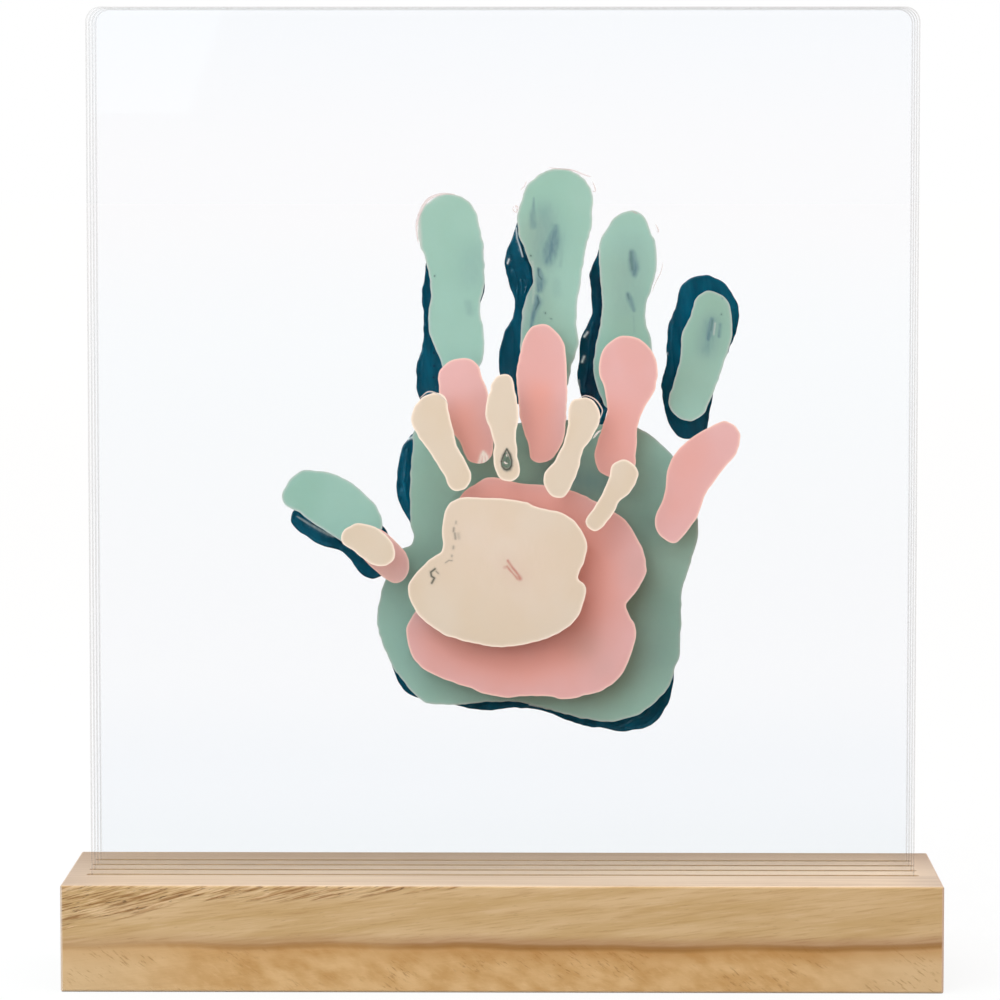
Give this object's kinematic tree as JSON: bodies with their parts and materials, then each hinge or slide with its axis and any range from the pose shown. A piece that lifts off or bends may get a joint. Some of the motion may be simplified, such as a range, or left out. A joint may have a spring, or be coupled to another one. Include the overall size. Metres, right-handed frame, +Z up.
{
  "type": "handprint frame",
  "caption": "Keepsake stand: a slotted wood block holds upright clear plates in a row, each with a painted handprint, so the prints overlap when seen from the front.",
  "frame": {"origin": "middle of the block's underside", "axes": "+X along the block, to the right seen from the front; +Y from the front plate to the rear plate; +Z up"},
  "size_m": [0.265, 0.065, 0.295],
  "materials": {
    "wood": "fine sanded and left natural, satin",
    "clear_acrylic": "clear polished acrylic sheet",
    "teal_paint": "thick dried acrylic paint, glossy, with raised ridges",
    "sage_paint": "dried acrylic paint seen through its plate",
    "pink_paint": "dried acrylic paint seen through its plate",
    "cream_paint": "dried acrylic paint seen through its plate"
  },
  "bodies": {
    "block": {"block": "wood"},
    "rear_plate": {"rear_plate": "clear_acrylic", "teal_palm": "teal_paint", "teal_thumb": "teal_paint", "teal_index": "teal_paint", "teal_middle": "teal_paint", "teal_ring": "teal_paint", "teal_little": "teal_paint"},
    "third_plate": {"third_plate": "clear_acrylic", "sage_palm": "sage_paint", "sage_thumb": "sage_paint", "sage_index": "sage_paint", "sage_middle": "sage_paint", "sage_ring": "sage_paint", "sage_little": "sage_paint"},
    "second_plate": {"second_plate": "clear_acrylic", "pink_palm": "pink_paint", "pink_thumb": "pink_paint", "pink_index": "pink_paint", "pink_middle": "pink_paint", "pink_ring": "pink_paint", "pink_little": "pink_paint"},
    "front_plate": {"front_plate": "clear_acrylic", "cream_palm": "cream_paint", "cream_thumb": "cream_paint", "cream_index": "cream_paint", "cream_middle": "cream_paint", "cream_ring": "cream_paint", "cream_little": "cream_paint"}
  },
  "joints": [
    {"name": "rear_plate_lift", "type": "slide", "parent": "block", "child": "rear_plate", "axis": [0, 0, 1], "range_m": [0, 0.285]},
    {"name": "third_plate_lift", "type": "slide", "parent": "block", "child": "third_plate", "axis": [0, 0, 1], "range_m": [0, 0.285]},
    {"name": "second_plate_lift", "type": "slide", "parent": "block", "child": "second_plate", "axis": [0, 0, 1], "range_m": [0, 0.285]},
    {"name": "front_plate_lift", "type": "slide", "parent": "block", "child": "front_plate", "axis": [0, 0, 1], "range_m": [0, 0.285]}
  ]
}
